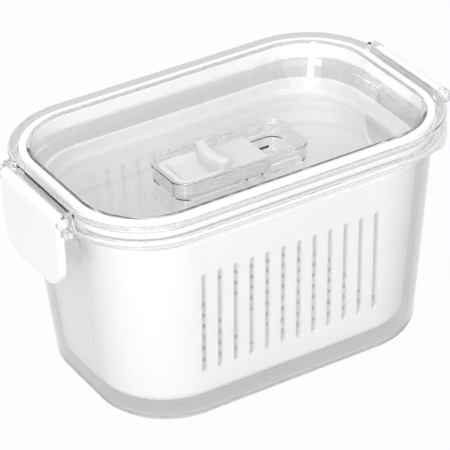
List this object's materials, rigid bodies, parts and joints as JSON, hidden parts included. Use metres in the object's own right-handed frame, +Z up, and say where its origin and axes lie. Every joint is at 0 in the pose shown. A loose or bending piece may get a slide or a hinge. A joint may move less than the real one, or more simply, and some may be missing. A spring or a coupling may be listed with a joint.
{
  "type": "airtight canister",
  "caption": "Clear airtight food keeper with a clip-down lid, a slotted drain basket inside, a sliding lid vent and a latch at each end.",
  "frame": {"origin": "on the table, under the middle of the container", "axes": "+X along the long side towards the right latch, +Y from the front long side to the back one, +Z up out of the lid"},
  "size_m": [0.1976, 0.119, 0.1075],
  "materials": {
    "clear_plastic": "gloss",
    "white_plastic": "satin",
    "white_silicone": "matte"
  },
  "bodies": {
    "base": {"container": "clear_plastic", "drain_basket": "white_plastic"},
    "lid": {"lid": "clear_plastic", "lid_gasket": "white_silicone"},
    "latch_left": {"latch_left": "white_plastic"},
    "latch_right": {"latch_right": "white_plastic"},
    "vent_slider": {"vent_slider": "white_plastic", "vent_seal": "white_silicone"}
  },
  "joints": [
    {"name": "lid_lift", "type": "slide", "parent": "base", "child": "lid", "axis": [0, 0, 1], "range_m": [0, 0.12]},
    {"name": "latch_left_hinge", "type": "hinge", "parent": "lid", "child": "latch_left", "pos_m": [-0.0957, 0, 0.1031], "axis": [0, 1, 0], "range_deg": [0, 135]},
    {"name": "latch_right_hinge", "type": "hinge", "parent": "lid", "child": "latch_right", "pos_m": [0.0957, 0, 0.1031], "axis": [0, -1, 0], "range_deg": [0, 135]},
    {"name": "vent_slide", "type": "slide", "parent": "lid", "child": "vent_slider", "axis": [1, 0, 0], "range_m": [0, 0.016]}
  ]
}
